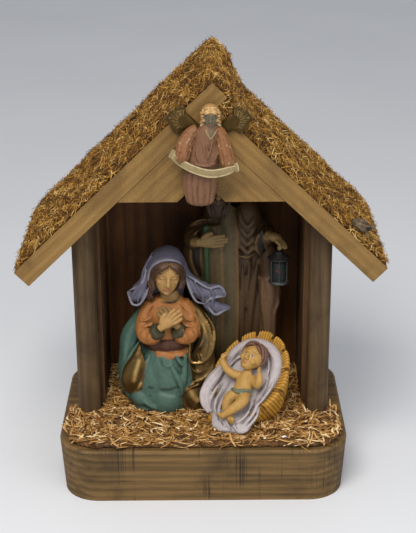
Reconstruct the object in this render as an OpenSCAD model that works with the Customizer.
// Wooden nativity stable: a gabled shelter of two sloping boards on posts and walls, standing on a
// thick rounded slab, with a fibre thatch, a straw floor and the cast figures of the holy family.
// Origin: middle of the slab's underside. X to the right, Y to the back, Z up. Millimetres.

/* [Base slab] */
// Width of the base slab at its top
base_w = 190; // [170:1:240]
// Depth of the base slab at its top, front to back
base_d = 134; // [126:1:180]
// Thickness of the base slab
base_t = 38; // [30:1:50]
// Radius of the slab's four upright corners
base_corner_r = 26; // [16:1:34]
// How far each side draws in from top to bottom
base_draft = 2.5; // [0.5:0.5:5]
// Eased edge round the slab's top
base_ease = 1.5; // [0.5:0.5:3]

/* [Posts and walls] */
// Diameter of the two front posts
post_d = 15; // [12:0.5:18]
// How far in from the slab's sides the posts' axes stand
post_inset = 18; // [17:0.5:20]
// How far in front of the slab's middle the posts stand
post_forward = 15; // [12:1:20]
// Depth of the sockets that the posts are glued into
socket_deep = 10; // [6:1:16]
// Thickness of the side walls and the back wall
wall_t = 10; // [8:0.5:12]
// Clear width between the side walls
room_w = 134; // [132:1:136]
// Distance from the slab's middle to the back wall's inner face
room_back = 51; // [50:0.5:54]

/* [Roof] */
// Slope of both roof boards, in degrees
roof_angle = 44; // [42:0.5:46]
// Height at which the undersides of the two roof boards meet
ridge_z = 249.5; // [240:0.5:258]
// Thickness of the roof boards
board_t = 13; // [10:0.5:16]
// Depth of the roof boards, front to back
roof_d = 117; // [116:1:122]
// How far in front of the slab's middle the roof begins
roof_forward = 40; // [38:0.5:42]
// Sideways reach of the left board's underside from the ridge
left_reach = 110; // [104:0.5:116]
// Sideways reach of the right board's underside from the ridge
right_reach = 108.5; // [104:0.5:116]
// How far the left board's end stands past the right board's top
ridge_lap = 9.5; // [4:0.5:12]
// Width of the two gable rafters, square to their length
rafter_w = 26; // [20:0.5:30]
// Thickness of the gable rafters, front to back
rafter_t = 8; // [6:0.5:12]
// Height at which the rafters' feet are cut level
rafter_foot_z = 199; // [190:0.5:206]
// Setback of the rafters behind the roof's front edges
rafter_set = 0.5; // [0:0.25:2]
// Thickness of the fibre thatch glued on the roof
thatch_t = 4; // [3:0.5:6]
// Height of the thatch's tufts above its mean surface
tuft_h = 1; // [0.5:0.25:1.5]

/* [Straw floor] */
// Thickness of the straw layer on the slab
straw_t = 5; // [3:0.5:7]
// Bare margin between the straw and the slab's edge
straw_margin = 4; // [3:0.5:8]
// Height of the straw's heaps above the layer
heap_h = 5; // [3:0.5:7]

/* [Fasteners] */
// Diameter of the roof nails' shanks
nail_d = 1.6; // [1.2:0.1:2.2]
// Length of the roof nails
nail_len = 28; // [22:1:32]
// Diameter of the screws that hold the walls to the slab
screw_d = 4; // [3:0.5:5]
// Length of the wall screws
screw_len = 50; // [46:1:54]
// Depth of the recess that hides each screw's head
screw_recess = 6; // [3:1:10]

/* [Figures] */
// Height of the kneeling mother, foot to veil
mother_h = 115; // [106:1:118]
// Height of the standing father
father_h = 160; // [150:1:164]
// Diameter of the father's staff
staff_d = 4.4; // [3:0.2:5]
// Height of the gable angel
angel_h = 65; // [56:1:68]
// Length of the manger's rim, head to foot
manger_len = 66; // [58:1:68]
// Length of the infant, crown to heel
infant_len = 56; // [50:1:58]
// Diameter of the lantern's glass
lantern_d = 12.5; // [10:0.5:13]
// Height of the lantern's glass
lantern_h = 15; // [12:0.5:17]

/* [Hidden] */

over = 1;             // overrun of every cut
round_fn = 64;        // facets that stand for true round
floor_z = base_t + straw_t;
post_x = base_w / 2 - post_inset;
post_y = -post_forward;
wall_in = room_w / 2;
wall_out = wall_in + wall_t;
wall_front = post_y + post_d / 2;
back_out = room_back + wall_t;
roof_y0 = -roof_forward;
roof_y1 = roof_y0 + roof_d;
slope = tan(roof_angle);
along = [cos(roof_angle), sin(roof_angle)];
left_out = [-sin(roof_angle), cos(roof_angle)];
right_out = [sin(roof_angle), cos(roof_angle)];
left_eave = [-left_reach, ridge_z - left_reach * slope];
right_eave = [right_reach, ridge_z - right_reach * slope];
lap_angle = 2 * roof_angle;
left_len = left_reach / cos(roof_angle) + (board_t + ridge_lap) / sin(lap_angle);
right_len = right_reach / cos(roof_angle);
thatch_inset = 1.2;   // wood left bare along the thatch's front and eaves
thatch_cols = 14;     // tufts across each slope
thatch_rows = 10;     // tufts from front to back
heap_shares = [[-0.72, 0.55, 1.0], [0.81, 0.55, 0.65], [0.85, 0.12, 0.5], [-0.76, -0.5, 0.85],
  [-0.38, -0.74, 0.7], [0.85, -0.74, 0.6]];
heap_profile_shares = [[1, -0.3], [0.82, 0.42], [0.58, 0.78], [0.3, 0.96], [0, 1]];
screw_head_d = 2 * screw_d;
screw_head_t = 0.55 * screw_d;
nail_head_d = 2 * nail_d;
nail_head_t = 0.5 * nail_d;

// Figure places, from the slab's middle
mother_x = -23.5;
mother_y = -1;
staff_lean = 1.2;
staff_x = mother_x + 0.2478 * mother_h;
father_x = staff_x + 14;
father_y = 27;
staff_y = 7.6;
angel_x = 2;
angel_y = roof_y0;
angel_z = ridge_z - 0.2 * ridge_z;
manger_x = 31.5;
manger_y = -27;
manger_turn = -28;

// Shared forms

function unit(v) = v / norm(v);

// One ring: centre, two axes, two radii, points, folds, fold depth, turn
function ring(c, u, v, a, b, n, folds = 0, depth = 0, turn = 0) =
  [for (i = [0 : n - 1])
    let (w = 360 * i / n, s = 1 + depth * cos(folds * w + turn))
    c + u * (a * s * cos(w)) + v * (b * s * sin(w))];

// Level rings from rows of [x, y, z, radius across, radius deep, fold depth, fold turn]
function stack(rows, scale, n, folds = 0) =
  [for (r = rows)
    ring([r[0], r[1], r[2]] * scale, [1, 0, 0], [0, 1, 0], r[3] * scale, r[4] * scale,
      n, folds, len(r) > 5 ? r[5] : 0, len(r) > 6 ? r[6] : 0)];

// Rings square to a path, from rows of [x, y, z, half width, half thickness, roll]
function sweep(rows, scale, n, ref = [0, 1, 0]) =
  [for (k = [0 : len(rows) - 1])
    let (r = rows[k],
      before = rows[max(k - 1, 0)],
      after = rows[min(k + 1, len(rows) - 1)],
      t = unit([after[0] - before[0], after[1] - before[1], after[2] - before[2]]),
      side = unit(cross(ref, t)),
      up = cross(t, side),
      roll = len(r) > 5 ? r[5] : 0)
    ring([r[0], r[1], r[2]] * scale, side * cos(roll) + up * sin(roll),
      up * cos(roll) - side * sin(roll), r[3] * scale, r[4] * scale, n)];

function middle(points) = [for (p = points) 1] * points / len(points);

// A closed skin through rings, capped with fans
module skin(rings) {
  n = len(rings[0]);
  m = len(rings);
  points = concat([for (r = rings) each r], [middle(rings[0]), middle(rings[m - 1])]);
  sides = [for (k = [0 : m - 2], i = [0 : n - 1])
    let (a = k * n + i, d = k * n + (i + 1) % n)
    each [[a, a + n, d + n], [a, d + n, d]]];
  foot = [for (i = [0 : n - 1]) [m * n, i, (i + 1) % n]];
  crown = [for (i = [0 : n - 1]) [m * n + 1, (m - 1) * n + (i + 1) % n, (m - 1) * n + i]];
  polyhedron(points, concat(sides, foot, crown), convexity = 8);
}

// A finger: two small balls joined
module finger(from, to, r) {
  hull() {
    translate(from) sphere(r, $fn = 4);
    translate(to) sphere(0.8 * r, $fn = 4);
  }
}

// A hand reaching along +X with its back up, wrist at the origin, in hundredths of its length
hand_palm_shares = [[0, 0, 0, 16, 11], [22, 0, 2, 20, 11], [48, 0, 2, 22, 9], [58, 0, 1, 18, 6]];
hand_finger_shares = [-15, -5, 5, 15];
module hand(length, curl = 0) {
  h = length / 100;
  skin(sweep(hand_palm_shares, h, 6, [0, 0, 1]));
  for (y = hand_finger_shares)
    finger([50, y, 1] * h, [98 - abs(y), 1.1 * y, 1 - curl] * h, 5.5 * h);
  finger([18, 18, 0] * h, [48, 34, -curl / 2] * h, 6 * h);
}

// A head facing -Y, middle at the origin, in hundredths of its height, chin to crown
skull_shares = [[0, -20, -50, 9, 8], [0, -15, -43, 20, 20], [0, -9, -29, 29, 32],
  [0, -4, -10, 35, 39], [0, 0, 10, 37, 42], [0, 2, 28, 34, 40], [0, 2, 42, 24, 29],
  [0, 2, 50, 7, 9]];
nose_shares = [[0, -37, 8, 4, 3], [0, -44, -4, 5, 5], [0, -47, -13, 7, 7], [0, -40, -18, 6, 4]];
eye_share = [15, -33, 5, 7];
lip_share = [9, -36, -27, 4];
module head(height) {
  h = height / 100;
  skin(stack(skull_shares, h, 14));
  skin(sweep(nose_shares, h, 6));
  for (s = [-1, 1]) {
    translate([s * eye_share[0], eye_share[1], eye_share[2]] * h) sphere(eye_share[3] * h, $fn = 6);
    hull() {
      translate([0, lip_share[1], lip_share[2]] * h) sphere(lip_share[3] * h, $fn = 4);
      translate([s * lip_share[0], lip_share[1] + 4, lip_share[2]] * h)
        sphere(0.6 * lip_share[3] * h, $fn = 4);
    }
  }
}

// A slab with round corners whose sides draw in downwards
module drafted_slab(w, d, r, h, draft) {
  cx = w / 2 - r;
  cy = d / 2 - r;
  for (x = [-cx, cx], y = [-cy, cy])
    translate([x, y, 0]) cylinder(h = h, r1 = r - draft, r2 = r, $fn = round_fn);
  rotate([90, 0, 0]) translate([0, 0, -cy]) linear_extrude(2 * cy)
    polygon([[-w / 2 + draft, 0], [w / 2 - draft, 0], [w / 2, h], [-w / 2, h]]);
  rotate([90, 0, 90]) translate([0, 0, -cx]) linear_extrude(2 * cx)
    polygon([[-d / 2 + draft, 0], [d / 2 - draft, 0], [d / 2, h], [-d / 2, h]]);
}

// Screw places: two under the back wall and one under each side wall
screw_back_share = 0.55;
screw_places = [[-screw_back_share * wall_in, room_back + wall_t / 2],
  [screw_back_share * wall_in, room_back + wall_t / 2],
  [-(wall_in + wall_out) / 2, (wall_front + room_back) / 2],
  [(wall_in + wall_out) / 2, (wall_front + room_back) / 2]];

module screw_body() {
  translate([0, 0, screw_recess]) {
    cylinder(h = screw_head_t, d1 = screw_head_d, d2 = screw_d, $fn = round_fn);
    cylinder(h = screw_len, d = screw_d, $fn = round_fn);
  }
}

module base_board() {
  color("#7a5c3c") difference() {
    union() {
      drafted_slab(base_w, base_d, base_corner_r, base_t - base_ease, base_draft);
      translate([0, 0, base_t - base_ease]) mirror([0, 0, 1]) translate([0, 0, -base_ease])
        drafted_slab(base_w, base_d, base_corner_r, base_ease, base_ease);
    }
    for (s = [-1, 1])
      translate([s * post_x, post_y, base_t - socket_deep])
        cylinder(h = socket_deep + over, d = post_d, $fn = round_fn);
    for (p = screw_places) translate([p[0], p[1], 0]) {
      screw_body();
      translate([0, 0, -over]) cylinder(h = screw_recess + over, d = screw_head_d, $fn = round_fn);
    }
  }
}

module base_screws() {
  color("#b8a878") for (p = screw_places) translate([p[0], p[1], 0]) screw_body();
}

// Everything under the two roof boards' undersides, as a gabled prism between two depths
module under_roof(y0, y1, low) {
  reach = left_reach + right_reach;
  translate([0, y1, 0]) rotate([90, 0, 0]) linear_extrude(y1 - y0)
    polygon([[-reach, low], [reach, low], [reach, ridge_z - reach * slope],
      [0, ridge_z], [-reach, ridge_z - reach * slope]]);
}

// Roof nails: across the slope from above, each into a post or the back wall
function nail_top(s, x) = [s * x + s * board_t * sin(roof_angle),
  ridge_z - x * slope + board_t * cos(roof_angle)];
nail_places = [for (s = [-1, 1]) each [[s, post_x + post_d / 3, post_y],
  [s, 0.72 * wall_in, room_back + wall_t / 2], [s, 0.32 * wall_in, room_back + wall_t / 2]]];

module nail_bodies() {
  for (p = nail_places) {
    top = nail_top(p[0], p[1]);
    translate([top[0], p[2], top[1]]) rotate([0, p[0] * roof_angle, 0]) {
      translate([0, 0, -nail_len]) cylinder(h = nail_len, d = nail_d, $fn = round_fn);
      translate([0, 0, -nail_head_t]) cylinder(h = nail_head_t, d = nail_head_d, $fn = round_fn);
    }
  }
}

module roof_nails() { color("#9a9a96") nail_bodies(); }

module post(s) {
  difference() {
    intersection() {
      translate([s * post_x, post_y, base_t - socket_deep])
        cylinder(h = ridge_z, d = post_d, $fn = round_fn);
      under_roof(post_y - post_d, post_y + post_d, -ridge_z);
    }
    nail_bodies();
  }
}

module left_post() { color("#6b4a2e") post(-1); }
module right_post() { color("#6b4a2e") post(1); }

module back_wall() {
  color("#4d3018") difference() {
    intersection() {
      translate([-wall_out, room_back, base_t]) cube([2 * wall_out, wall_t, ridge_z]);
      under_roof(room_back, back_out, -ridge_z);
    }
    nail_bodies();
    for (p = screw_places) translate([p[0], p[1], 0]) screw_body();
  }
}

module side_wall(s) {
  difference() {
    intersection() {
      translate([s * (wall_in + wall_out) / 2 - wall_t / 2, wall_front, base_t])
        cube([wall_t, room_back - wall_front, ridge_z]);
      under_roof(wall_front, room_back, -ridge_z);
    }
    for (p = screw_places) translate([p[0], p[1], 0]) screw_body();
  }
}

module left_side_wall() { color("#573821") side_wall(-1); }
module right_side_wall() { color("#573821") side_wall(1); }

function left_at(l, t) = left_eave + [along[0], along[1]] * l + left_out * t;
function right_at(l, t) = right_eave + [-along[0], along[1]] * l + right_out * t;
// Length up the right slope, at a height above its underside, where the left underside is met
function right_stop(t) = right_len - t / tan(lap_angle);

module left_roof_board() {
  color("#a9865a") difference() {
    translate([0, roof_y1, 0]) rotate([90, 0, 0]) linear_extrude(roof_d)
      polygon([left_at(0, 0), left_at(left_len, 0), left_at(left_len, board_t), left_at(0, board_t)]);
    nail_bodies();
  }
}

module right_roof_board() {
  color("#a07e54") difference() {
    translate([0, roof_y1, 0]) rotate([90, 0, 0]) linear_extrude(roof_d)
      polygon([right_at(0, 0), right_at(0, board_t), right_at(right_stop(board_t), board_t),
        right_at(right_stop(0), 0)]);
    nail_bodies();
  }
}

// A gable strip under one roof board, mitred at the ridge, its foot cut level
module rafter(s) {
  drop = rafter_w / cos(roof_angle);
  y0 = roof_y0 + rafter_set;
  foot = (ridge_z - rafter_foot_z) / slope;
  heel = (ridge_z - drop - rafter_foot_z) / slope;
  translate([0, y0 + rafter_t, 0]) rotate([90, 0, 0]) linear_extrude(rafter_t)
    polygon([[0, ridge_z], [s * foot, rafter_foot_z], [s * heel, rafter_foot_z],
      [0, ridge_z - drop]]);
}

module left_rafter() { color("#b08e62") rafter(-1); }
module right_rafter() { color("#b08e62") rafter(1); }

// Thatch: tufts laid on a profile of the roof, its top a wavy grid that thins at its rims.
// base lists the profile's points from eave to ridge, out the thickness at each of them.
function tuft(i, j) = tuft_h * (0.55 * sin(137 * i + 59 * j) + 0.45 * sin(71 * i - 113 * j));

module thatch(base, out, s) {
  y0 = roof_y0 + thatch_inset;
  y1 = roof_y1;
  nx = len(base) - 1;
  ny = thatch_rows;
  w = nx + 1;
  count = w * (ny + 1);
  function edge(i, n) = min(1, 0.35 + 0.65 * min(i, n - i));
  low = [for (j = [0 : ny], p = base) [p[0], y0 + (y1 - y0) * j / ny, p[1]]];
  top = [for (j = [0 : ny], i = [0 : nx])
    let (k = min(i == nx ? 1 : edge(i, 2 * nx), edge(j, ny)),
      p = base[i] + (out[i] + unit(out[i]) * tuft(i, j)) * k)
    [p[0], y0 + (y1 - y0) * j / ny, p[1]]];
  function side(a, b) = s < 0 ? [[a, a + count, b + count], [a, b + count, b]]
    : [[a, b + count, a + count], [a, b, b + count]];
  function flip(f) = s < 0 ? f : [f[0], f[2], f[1]];
  sheets = [for (j = [0 : ny - 1], i = [0 : nx - 1])
    let (a = j * w + i, b = a + 1, c = a + w + 1, d = a + w)
    each [flip([a, b, c]), flip([a, c, d]),
      flip([a + count, c + count, b + count]), flip([a + count, d + count, c + count])]];
  rims = concat(
    [for (i = [0 : nx - 1]) each side(i, i + 1)],
    [for (i = [0 : nx - 1]) each side(ny * w + i + 1, ny * w + i)],
    [for (j = [0 : ny - 1]) each side((j + 1) * w, j * w)],
    [for (j = [0 : ny - 1]) each side(j * w + nx, (j + 1) * w + nx)]);
  polyhedron(concat(low, top), concat(sheets, rims), convexity = 6);
}

function steps(from, to, n) = [for (i = [0 : n]) from + (to - from) * i / n];

// Both thatches meet in a roll over the left board's end
ridge_roll = (along + left_out) * (0.9 * thatch_t);

module left_thatch() {
  l = steps(thatch_inset, left_len, thatch_cols);
  color("#a07a2c") thatch([for (x = l) left_at(x, board_t)],
    [for (x = l) x < left_len ? left_out * thatch_t : ridge_roll], -1);
}

// The right thatch climbs the step at the ridge and covers the left board's end
module right_thatch() {
  stop = right_stop(board_t);
  l = steps(thatch_inset, stop, thatch_cols);
  function climb(x) = max(0, 1 - (stop - x) / (2 * ridge_lap));
  cap = [0, 0.5, 1];
  cap_out = [along * 0.75 - left_out * 0.4, along, ridge_roll / thatch_t];
  color("#9a7428") thatch(
    concat([for (x = l) right_at(x, board_t)], [for (k = cap) left_at(left_len, k * board_t)]),
    concat([for (x = l) x < stop ? right_out * (thatch_t + ridge_lap * climb(x))
      : along * (ridge_lap + thatch_t / 4) - left_out * thatch_t],
      [for (v = cap_out) v * thatch_t]), 1);
}

// A curl of bark standing on the right slope's thatch, near the front
bark_len = 14;        // along the slope
bark_w = 9;           // front to back
bark_reach_share = 0.8;
bark_shares = [[0, 0, 0, 38, 46], [2, 0, 18, 46, 50], [0, 3, 34, 30, 36], [-4, 5, 44, 14, 18]];
module bark_chip() {
  at = right_at(right_len * (1 - bark_reach_share), board_t + thatch_t + tuft_h);
  color("#5a4a34") translate([at[0], roof_y0 + bark_w, at[1]]) rotate([0, roof_angle, 0])
    difference() {
      skin([for (r = stack(bark_shares, bark_len / 100, 14, 5))
        [for (p = r) [p[0], p[1] * bark_w / bark_len, p[2]]]]);
      translate([-bark_len / 4, -bark_w / 2, bark_len / 6]) rotate([90, 0, 0])
        cylinder(h = bark_w / 2, d = bark_w / 3, center = true, $fn = 10);
    }
}

module round_prism(w, d, r, h) {
  for (x = [r - w / 2, w / 2 - r], y = [r - d / 2, d / 2 - r])
    translate([x, y, 0]) cylinder(h = h, r = r, $fn = round_fn);
  translate([-w / 2, r - d / 2, 0]) cube([w, d - 2 * r, h]);
  translate([r - w / 2, -d / 2, 0]) cube([w - 2 * r, d, h]);
}

// A low heap: a turned mound whose rim lies inside the layer
module heap(r, h) {
  rotate_extrude($fn = round_fn)
    polygon(concat([[0, -straw_t / 2], [heap_profile_shares[0][0] * r, -straw_t / 2]],
      [for (p = heap_profile_shares) [p[0] * r, p[1] * h]]));
}

module straw_bed() {
  straw_w = base_w - 2 * straw_margin;
  straw_d = base_d - 2 * straw_margin;
  heap_r = 0.2 * wall_in;
  color("#b98f4c") difference() {
    union() {
      intersection() {
        translate([0, 0, base_t])
          round_prism(straw_w, straw_d, base_corner_r - straw_margin, straw_t);
        union() {
          translate([-base_w / 2, -base_d / 2, base_t])
            cube([base_w, base_d / 2 + post_y, straw_t]);
          translate([-wall_in, -base_d / 2, base_t]) cube([room_w, base_d / 2 + room_back, straw_t]);
        }
      }
      for (p = heap_shares)
        translate([p[0] * wall_in, p[1] * base_d / 2, floor_z]) heap(heap_r * p[2], heap_h * p[2]);
    }
    for (s = [-1, 1])
      translate([s * post_x, post_y, base_t - over])
        cylinder(h = straw_t + heap_h + 2 * over, d = post_d, $fn = round_fn);
  }
}

// Kneeling mother: tables in hundredths of her height
mother_lap_shares = [[-1, -1, 0, 24, 18, 0.05, 0], [-1, -1, 6, 26, 19, 0.07, 10],
  [-1, -1, 15, 25, 19, 0.07, 30], [0, 0, 25, 22, 17, 0.05, 55], [0, 1, 34, 16, 12, 0.04, 80],
  [0, 2, 44, 12, 9, 0.02, 90]];
mother_tunic_shares = [[0, 2, 36, 12.5, 9], [0, 1.5, 43, 12.5, 9.5, 0.04, 20],
  [0, 1, 50, 12.5, 10, 0.04, 30], [0, 0.5, 57, 12, 10.3, 0.02, 40], [0, 1, 62.5, 10.8, 8],
  [0, 0.3, 66.5, 7, 6.5], [0, -0.8, 69.5, 5, 5], [0, -1.5, 76, 4.6, 4.6]];
mother_sleeve_shares = [[8, 1, 62, 4.4, 4.6], [10.8, 0.5, 56.5, 4.9, 5.6], [13, -2, 49.5, 4.8, 5.4],
  [12.6, -6.4, 45, 4.8, 4.8], [9, -10.4, 45.8, 4.3, 4.4], [5.5, -12.2, 50, 3.6, 3.6]];
mother_cape_back_shares = [[0, 4, 0, 19, 11, 0.05, 0], [0, 5, 12, 20, 11.5, 0.05, 15],
  [0, 5, 32, 17, 10, 0.05, 30], [0, 5, 52, 14.5, 8, 0.04, 40], [0, 4, 65, 8, 5]];
mother_cape_left_shares = [[-13, 5, 58, 4, 3], [-18, 6, 49, 6, 5], [-22.5, 4, 40, 5, 7],
  [-25, 1, 30, 4.5, 8], [-26.5, -2, 18, 5, 9], [-26, -4, 6, 5.5, 9], [-26, -4, 0, 5, 8.5]];
mother_cape_right_shares = [[12.5, 4, 60, 4, 3], [18.5, 2, 52.5, 4.5, 5],
  [23, -1.5, 44, 5, 6], [22, -5, 33, 5.5, 6], [18.5, -8, 22, 5.5, 6], [16, -11, 8, 5.5, 5.5],
  [16, -11, 0, 5, 5]];
mother_veil_shares = [[-23, -1, 69, 1.5, 4], [-19, 0, 73, 3.5, 6.5], [-14.5, 1, 74.5, 3, 7.5],
  [-11.5, 1, 79, 1.8, 8.5], [-10.4, 1, 85, 1.7, 9.5], [-7, 1, 91, 1.7, 10],
  [0, 1, 93.6, 1.6, 10], [6.5, 2, 91.5, 1.6, 8.5], [10, 4, 86, 1.6, 6.5],
  [12, 3, 79, 1.8, 6], [17, 0, 75, 2.4, 6], [22, -1, 70, 2.8, 6], [26.5, -1, 68.5, 2.8, 5.5],
  [30, -1, 62, 2.5, 5], [34.5, -1, 58.5, 1, 2.5]];
mother_veil_back_shares = [[-1, 6, 56, 11, 3.5], [-1, 6.5, 66, 10, 4], [0, 5.5, 78, 9, 4.5],
  [0, 4.5, 87, 8, 5], [0, 2.5, 93, 4, 4]];
mother_hair_share = [9.6, 9.3, 10.8];
mother_lock_shares = [[8, -3.5, 87, 2.5, 3], [9.6, -4.5, 80, 3, 3.2], [9.4, -5, 73, 2.9, 3],
  [8.6, -5.5, 66, 2, 2.2]];
mother_head_share = 22;
module mother_figure() {
  h = mother_h / 100;
  color("#4f7f7c") translate([mother_x, mother_y, floor_z]) {
    skin(stack(mother_lap_shares, h, 27, 9));
    skin(stack(mother_tunic_shares, h, 21, 7));
    skin(stack(mother_cape_back_shares, h, 18, 6));
    skin(sweep(mother_cape_left_shares, h, 10));
    skin(sweep(mother_cape_right_shares, h, 10));
    skin(sweep(mother_veil_shares, h, 8));
    skin(stack(mother_veil_back_shares, h, 10));
    for (s = [0, 1]) mirror([s, 0, 0]) {
      skin(sweep(mother_sleeve_shares, h, 10));
      skin(sweep(mother_lock_shares, h, 6));
      translate([6.5 - 2 * s, -10.8 - 2.2 * s, 52] * h) rotate([0, 46 - 14 * s, 0])
        mirror([1, 0, 0]) rotate([90, 0, 0]) hand(16 * h);
    }
    translate([0, -3.2, 82.3] * h) rotate([9, 5, 8]) {
      head(mother_head_share * h);
      translate([0, 2.4, 0.8] * h) scale(mother_hair_share * h) sphere(1, $fn = 10);
    }
  }
}

// Standing father: tables in hundredths of his height
father_robe_shares = [[1, 0, 0, 15.5, 9.5, 0.05, 0], [1, 0, 8, 16, 10, 0.07, 10],
  [1, 0, 24, 16, 9.5, 0.07, 25], [0.8, 0.1, 49, 15.1, 9.1, 0.05, 45],
  [-0.5, 0, 67, 13, 8, 0.03, 70], [-2, 0, 73.5, 11, 7, 0.02, 80], [-3.5, 0, 78.5, 7.5, 5.5],
  [-4.5, -1, 82, 4.5, 4.5], [-5, -3.5, 88, 4, 4]];
father_panel_shares = [[0, -8, 3, 1.6, 4.2], [0, -8.7, 24, 1.6, 4], [-0.5, -8.5, 48, 1.6, 4],
  [-1.3, -7.9, 67, 1.6, 3.9], [-2.5, -5.6, 78, 1.3, 3]];
father_swag_shares = [[1.5, -6, 78, 1.4, 1.6], [3.5, -8, 71, 1.8, 2], [7, -8.6, 66, 2, 2.4],
  [11, -7, 69.5, 1.8, 2], [12, -4.4, 76, 1.4, 1.6]];
father_sleeve_right_shares = [[-7, 0, 73.6, 4, 4.4], [-11.4, 0, 73, 4, 4.6],
  [-14.4, -2.4, 71.2, 3.8, 4.4], [-15.6, -6, 69.8, 3.8, 4.4], [-15.6, -9.4, 69.4, 3.3, 3.8],
  [-15, -12.2, 69.8, 2.7, 3], [-13.9, -14.2, 70.6, 1.8, 2]];
father_bell_right_shares = [[-15.8, -5.6, 69, 2.4, 3], [-15.9, -5.2, 63, 3.9, 4],
  [-15.3, -5.4, 57.5, 3.9, 3.8], [-13.6, -6, 52, 2.6, 2.4], [-12.6, -6, 49.6, 1.2, 1.6]];
father_sleeve_left_shares = [[8, 0, 73, 4.2, 5], [12.5, -1, 71.5, 4.3, 5.2], [14.6, -4.6, 70, 4, 4.8],
  [15.4, -9, 70.8, 3.4, 3.8], [16.3, -12, 71.8, 2, 2]];
father_bell_left_shares = [[15, -4.6, 72, 3.4, 4.2], [15.8, -4.8, 63, 3.8, 4.2],
  [16.2, -4.8, 50, 3.8, 4.2], [15.8, -4.6, 36, 3.6, 4.2], [15, -4.4, 24, 3, 3.8],
  [14.4, -4.4, 20, 1.4, 2]];
father_hair_share = [7, 7, 8.2];
father_beard_shares = [[0, -17, -86, 3, 3], [0, -19, -78, 11, 9], [0, -17, -62, 20, 15],
  [0, -12, -40, 31, 22], [0, 4, -8, 38, 26]];
father_head_share = 15;
father_grip_share = [-13.8, -15, 70.6];
father_reach_share = [16, -12.4, 72.2];
father_hook_share = [20, -15.6, 68.7];
hook_r = 1.4;         // finger that the lantern's ring hangs on
hook_len = 7;         // length of that finger, front to back
lantern_at = [father_x, father_y, floor_z] + father_hook_share * father_h / 100;
module father_figure() {
  h = father_h / 100;
  color("#7b6a3e") translate([father_x, father_y, floor_z]) {
    skin(stack(father_robe_shares, h, 30, 10));
    skin(sweep(father_panel_shares, h, 8));
    skin(sweep(father_swag_shares, h, 8));
    skin(sweep(father_sleeve_right_shares, h, 10));
    skin(sweep(father_bell_right_shares, h, 10));
    skin(sweep(father_sleeve_left_shares, h, 10));
    skin(sweep(father_bell_left_shares, h, 10));
    translate(father_grip_share * h) rotate([90, 0, 0]) hand(12 * h);
    translate(father_reach_share * h) rotate([0, 40, -21]) hand(5 * h);
    translate(father_hook_share * h) hull() {
      translate([0, -hook_len / 2, 0]) sphere(hook_r, $fn = 12);
      translate([0, hook_len / 2, 0]) sphere(hook_r, $fn = 12);
    }
    translate([-5, -6.6, 92] * h) rotate([4, 0, 0]) {
      head(father_head_share * h);
      skin(stack(father_beard_shares, father_head_share * h / 100, 12));
      translate([0, 1.6, 1.2] * h) scale(father_hair_share * h) sphere(1, $fn = 10);
    }
  }
}

// The staff: a tapering rod with a rounded top
staff_len = 124;      // foot to tip
module staff() {
  color("#6f8a4c") translate([staff_x, staff_y, floor_z + staff_d * sin(staff_lean)])
    rotate([0, -staff_lean, 0]) {
    cylinder(h = staff_len - staff_d, d1 = 0.8 * staff_d, d2 = staff_d, $fn = round_fn);
    translate([0, 0, staff_len - staff_d]) sphere(d = staff_d, $fn = round_fn);
  }
}

// The lantern: ring, roof, glass and foot turned about one axis; it hangs from the finger
ring_gap = 0.4;       // between the ring and the finger
ring_wire = 1;        // thickness of the ring
roof_h = 6;           // height of the lantern's cap
brim = 1.1;           // how far the cap stands out past the glass
sill_h = 2;           // height of the lantern's foot
module lantern() {
  glass_r = lantern_d / 2;
  hang = hook_r + ring_gap + ring_wire;
  color("#24262a") translate(lantern_at) {
    rotate([90, 0, 0]) rotate_extrude($fn = round_fn)
      translate([hook_r + ring_gap + ring_wire / 2, 0]) circle(d = ring_wire, $fn = 24);
    translate([0, 0, -hang - roof_h - lantern_h - sill_h + ring_wire / 2])
      rotate_extrude($fn = round_fn)
        polygon([[0, 0], [glass_r + brim / 2, 0], [glass_r + brim / 2, sill_h / 2],
          [glass_r, sill_h], [glass_r, sill_h + lantern_h], [glass_r + brim, sill_h + lantern_h],
          [glass_r + brim, sill_h + lantern_h + roof_h / 6],
          [glass_r / 2, sill_h + lantern_h + 0.75 * roof_h],
          [glass_r / 4, sill_h + lantern_h + 0.8 * roof_h],
          [glass_r / 5, sill_h + lantern_h + roof_h], [0, sill_h + lantern_h + roof_h]]);
  }
}

// Manger and infant: tables in hundredths of the manger's and the infant's lengths
recline = 45;         // slope of the manger's rim, in degrees
rim_lobes = 14;       // scallops round the rim
lobe_shares = [-1.5, 0.3, 0.6, 0.3]; // one scallop: a notch, then a rounded lobe
rim_skew = 0.135;     // how far the rim's head end leans to the right, as a share of its reach
rim_foot_narrow = 0.28; // how much narrower the foot end is
rim_foot_short = 0.15; // how much shorter the foot end is
rim_side_narrow = 0.15; // how much narrower the side towards the mother is
manger_ring_shares = [[-3, 3, 0, 27, 25, 0, 0], [-4, 2.5, 10, 34, 38, 15, 0.015],
  [-5.5, 1, 23, 39, 48, 30, 0.03], [-6.6, -1.5, 34.5, 42.5, 55, 45, 0.04],
  [-6.6, -4, 39.5, 41, 53.5, 45, 0.04], [-6, -1, 38, 34, 46, 45, 0.02], [-4, 4, 32, 19, 27, 45, 0]];
manger_cloth_shares = [[-2, 27, 66, 2, 14], [-3, 19, 57, 4.5, 23], [-4, 6, 43, 5, 27],
  [-5, -9, 28, 5, 26], [-5, -22, 15, 5.5, 24], [-3, -33, 9, 6, 22], [0, -41, 5.5, 5, 19],
  [1, -46, 3, 2.5, 13]];
manger_roll_shares = [[-27, 2, 44, 3, 3], [-25.5, 14, 57, 5, 5], [-15, 22.5, 65.5, 5.6, 5.6],
  [-2, 25, 68.5, 5.8, 5.8], [11, 23.5, 66.5, 5.6, 5.6], [21, 16.5, 60, 5.4, 5.4],
  [24.5, 5, 48, 5, 5], [20, -8, 34.5, 4.4, 4.4], [14, -20, 22, 3.4, 3.4]];
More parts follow.
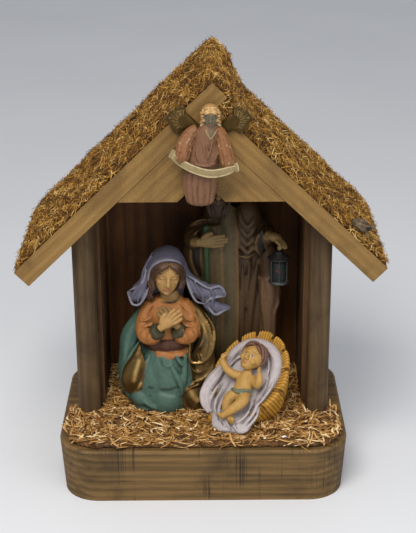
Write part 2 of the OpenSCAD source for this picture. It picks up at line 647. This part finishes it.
manger_flap_shares = [[-32, 3, 46, 4, 5], [-37, -8, 37, 6, 8], [-39, -18, 27, 6.5, 9.5],
  [-35, -26, 18, 6, 8.5], [-28, -32, 11, 3, 4]];
function manger_ring(r, h) = [for (i = [0 : 4 * rim_lobes - 1])
  let (w = 90 * i / rim_lobes, s = 1 + r[6] * lobe_shares[i % 4],
    across = (1 + rim_foot_narrow * min(0, sin(w))) * (1 + rim_side_narrow * min(0, cos(w))),
    lengthwise = 1 + rim_foot_short * min(0, sin(w)))
  ([r[0], r[1], r[2]] + [1, 0, 0] * (r[3] * s * across * cos(w))
    + [rim_skew, cos(r[5]), sin(r[5])] * (r[4] * s * lengthwise * sin(w))) * h];
module manger() {
  h = manger_len / 100;
  color("#d9a441") translate([manger_x, manger_y, floor_z]) rotate([0, 0, manger_turn]) {
    skin([for (r = manger_ring_shares)
      manger_ring(r, h)]);
    skin(sweep(manger_cloth_shares, h, 12, [1, 0, 0]));
    skin(sweep(manger_roll_shares, h, 8, [0, -0.7, 0.7]));
    skin(sweep(manger_flap_shares, h, 8));
  }
}

infant_seat_share = [0, -45, 9.6];
infant_trunk_shares = [[0, 0, 33, 9, 6], [0, 0, 38, 11, 8], [0, 0, 48, 11.5, 8.5],
  [0, 0, 57, 11, 7.5], [0, -1, 63, 7.5, 6], [0, -4, 72, 4, 4]];
infant_leg_shares = [[[4.5, 0, 40, 6, 6], [8, -6, 30, 6, 6], [7, -8, 20, 5, 5], [0, -4, 10, 4, 4],
  [-5, -2, 5, 3, 3]], [[-4.5, 0, 40, 6, 6], [-8, -5, 30, 6, 6], [-7, -6, 18, 5, 5],
  [-1, -9, 9, 4, 4], [3, -10, 4, 3, 3]]];
infant_arm_shares = [[[-8, 0, 62, 4, 4], [-18, -2, 62, 4, 4], [-28, -8, 66, 3.4, 3.4],
  [-36, -14, 74, 2.6, 2.6]], [[8, 0, 62, 4, 4], [15, -3, 56, 4, 4], [16, -8, 48, 3.6, 3.6],
  [12, -12, 44, 2.6, 2.6]]];
infant_hair_share = [13.2, 12.6, 15];
module infant_figure() {
  h = infant_len / 100;
  color("#d8b070") translate([manger_x, manger_y, floor_z]) rotate([0, 0, manger_turn])
    translate(infant_seat_share * manger_len / 100) rotate([recline - 90, 0, 0]) {
      skin(stack(infant_trunk_shares, h, 14));
      for (r = infant_leg_shares) skin(sweep(r, h, 8));
      for (r = infant_arm_shares) skin(sweep(r, h, 8));
      translate([-36, -14, 75] * h) rotate([0, -60, 0]) rotate([90, 0, 0]) hand(10 * h, 10);
      translate([12, -12.5, 45] * h) rotate([0, -130, 0]) rotate([90, 0, 0]) hand(10 * h, 10);
      translate([2, -6.6, 84.5] * h) rotate([6, 16, 0]) {
        head(33 * h);
        translate([0, 3, 2] * h) scale(infant_hair_share * h) sphere(1, $fn = 10);
      }
    }
}

// Gable angel: tables in hundredths of its height, its back flat on the gable
angel_skirt_shares = [[-5, -8, 0, 12, 8, 0.05, 0], [-5, -8.5, 4, 14.5, 9.5, 0.07, 0],
  [-4.5, -8.5, 20, 15.5, 10, 0.08, 10], [-3, -8, 44, 14, 9.5, 0.04, 20]];
angel_tunic_shares = [[-2, -8, 38, 14, 10, 0.03, 0], [-1, -8, 43, 16, 11.5, 0.05, 20],
  [0, -8, 50, 15.5, 11, 0.05, 40], [1, -8, 60, 12.5, 9.5, 0.02, 60], [3, -8, 69, 12.5, 9],
  [4.5, -8, 75, 10, 8], [6, -8.5, 83, 4.5, 4.5]];
angel_sleeve_left_shares = [[-6, -8, 74, 4.8, 5], [-12, -9, 70, 6, 6], [-17.5, -12, 61, 7, 7],
  [-20.3, -15.5, 51, 7, 8], [-21.2, -16.5, 46, 6, 6.4]];
angel_sleeve_right_shares = [[12, -8, 74, 4.8, 5], [16, -9, 68, 5.6, 6], [18.6, -12, 58, 6.8, 7],
  [21.3, -15, 47, 7.2, 8], [22, -16, 41, 6.6, 6.4]];
angel_scroll_shares = [[-29, -13.5, 52, 2, 2.4], [-27, -15.8, 48.5, 3.6, 1.4],
  [-20.8, -18.8, 45, 4.4, 1.2], [-11.5, -20.8, 40.3, 4.5, 1.2], [0, -22, 36.6, 4.5, 1.2],
  [8, -22.2, 35.8, 4.5, 1.2], [16, -21.4, 36.6, 4.5, 1.2], [24, -19.4, 38.3, 4.2, 1.4],
  [29, -17, 39.8, 2.4, 2.4]];
angel_curl_shares = [[-4, -9, 85], [-2.9, -9, 91], [15.2, -9, 85], [14.1, -9, 91]];
angel_head_share = 20;
module angel_figure() {
  h = angel_h / 100;
  color("#c08468") translate([angel_x, angel_y, angel_z]) difference() {
    union() {
      skin(stack(angel_skirt_shares, h, 24, 8));
      angel_trunk(h);
      skin(sweep(angel_scroll_shares, h, 8));
      translate([-23.5, -17.5, 47] * h) rotate([90, 60, 0]) hand(7 * h);
      translate([24.5, -16.8, 42] * h) rotate([90, 100, 0]) hand(7 * h);
      translate([6.1, -10, 87] * h) rotate([10, 0, 0]) head(angel_head_share * h);
    }
    translate([-angel_h, 0, -angel_h]) cube([2 * angel_h, angel_h, 3 * angel_h]);
  }
}

// Trunk, sleeves and hair, which the wings are fitted round
module angel_trunk(h) {
  skin(stack(angel_tunic_shares, h, 21, 7));
  skin(sweep(angel_sleeve_left_shares, h, 10));
  skin(sweep(angel_sleeve_right_shares, h, 10));
  for (c = angel_curl_shares) translate(c * h) sphere(3.6 * h, $fn = 6);
  translate([6.1, -7.5, 89.8] * h) scale([8.8, 8.4, 9.4] * h) sphere(1, $fn = 10);
}

// One wing: a rounded pad of coverts with a fan of feathers
wing_pad_shares = [[-4, 0, -2, 3, 2], [4, 0, 2, 5, 2.6], [14, 0, 7, 8, 2.6], [23, 0, 12, 8.5, 2.4],
  [30, 0, 15, 5, 1.8]];
wing_feathers = 6;
module wing(h) {
  skin(sweep(wing_pad_shares, h, 10));
  for (k = [0 : wing_feathers - 1])
    translate([15, -0.8 * (k % 2), 10] * h) rotate([0, 150 - 29 * k, 0])
      scale([1, 0.4, 1]) hull() {
        sphere(2.6 * h, $fn = 5);
        translate([0, 0, 9] * h) sphere(4.6 * h, $fn = 6);
        translate([0, 0, 14] * h) sphere(2.6 * h, $fn = 5);
      }
}
module angel_wings() {
  h = angel_h / 100;
  color("#4e4128") translate([angel_x, angel_y, angel_z]) difference() {
    union() {
      translate([-3.8, -2.8, 71.4] * h) mirror([1, 0, 0]) wing(h);
      translate([13.2, -2.8, 71] * h) wing(h);
    }
    angel_trunk(h);
    translate([-2 * angel_h, 0, 0]) cube([4 * angel_h, angel_h, 2 * angel_h]);
  }
}

base_board();
left_post();
right_post();
back_wall();
left_side_wall();
right_side_wall();
left_roof_board();
right_roof_board();
left_rafter();
right_rafter();
left_thatch();
right_thatch();
base_screws();
roof_nails();
bark_chip();
straw_bed();
mother_figure();
father_figure();
staff();
lantern();
manger();
infant_figure();
angel_figure();
angel_wings();
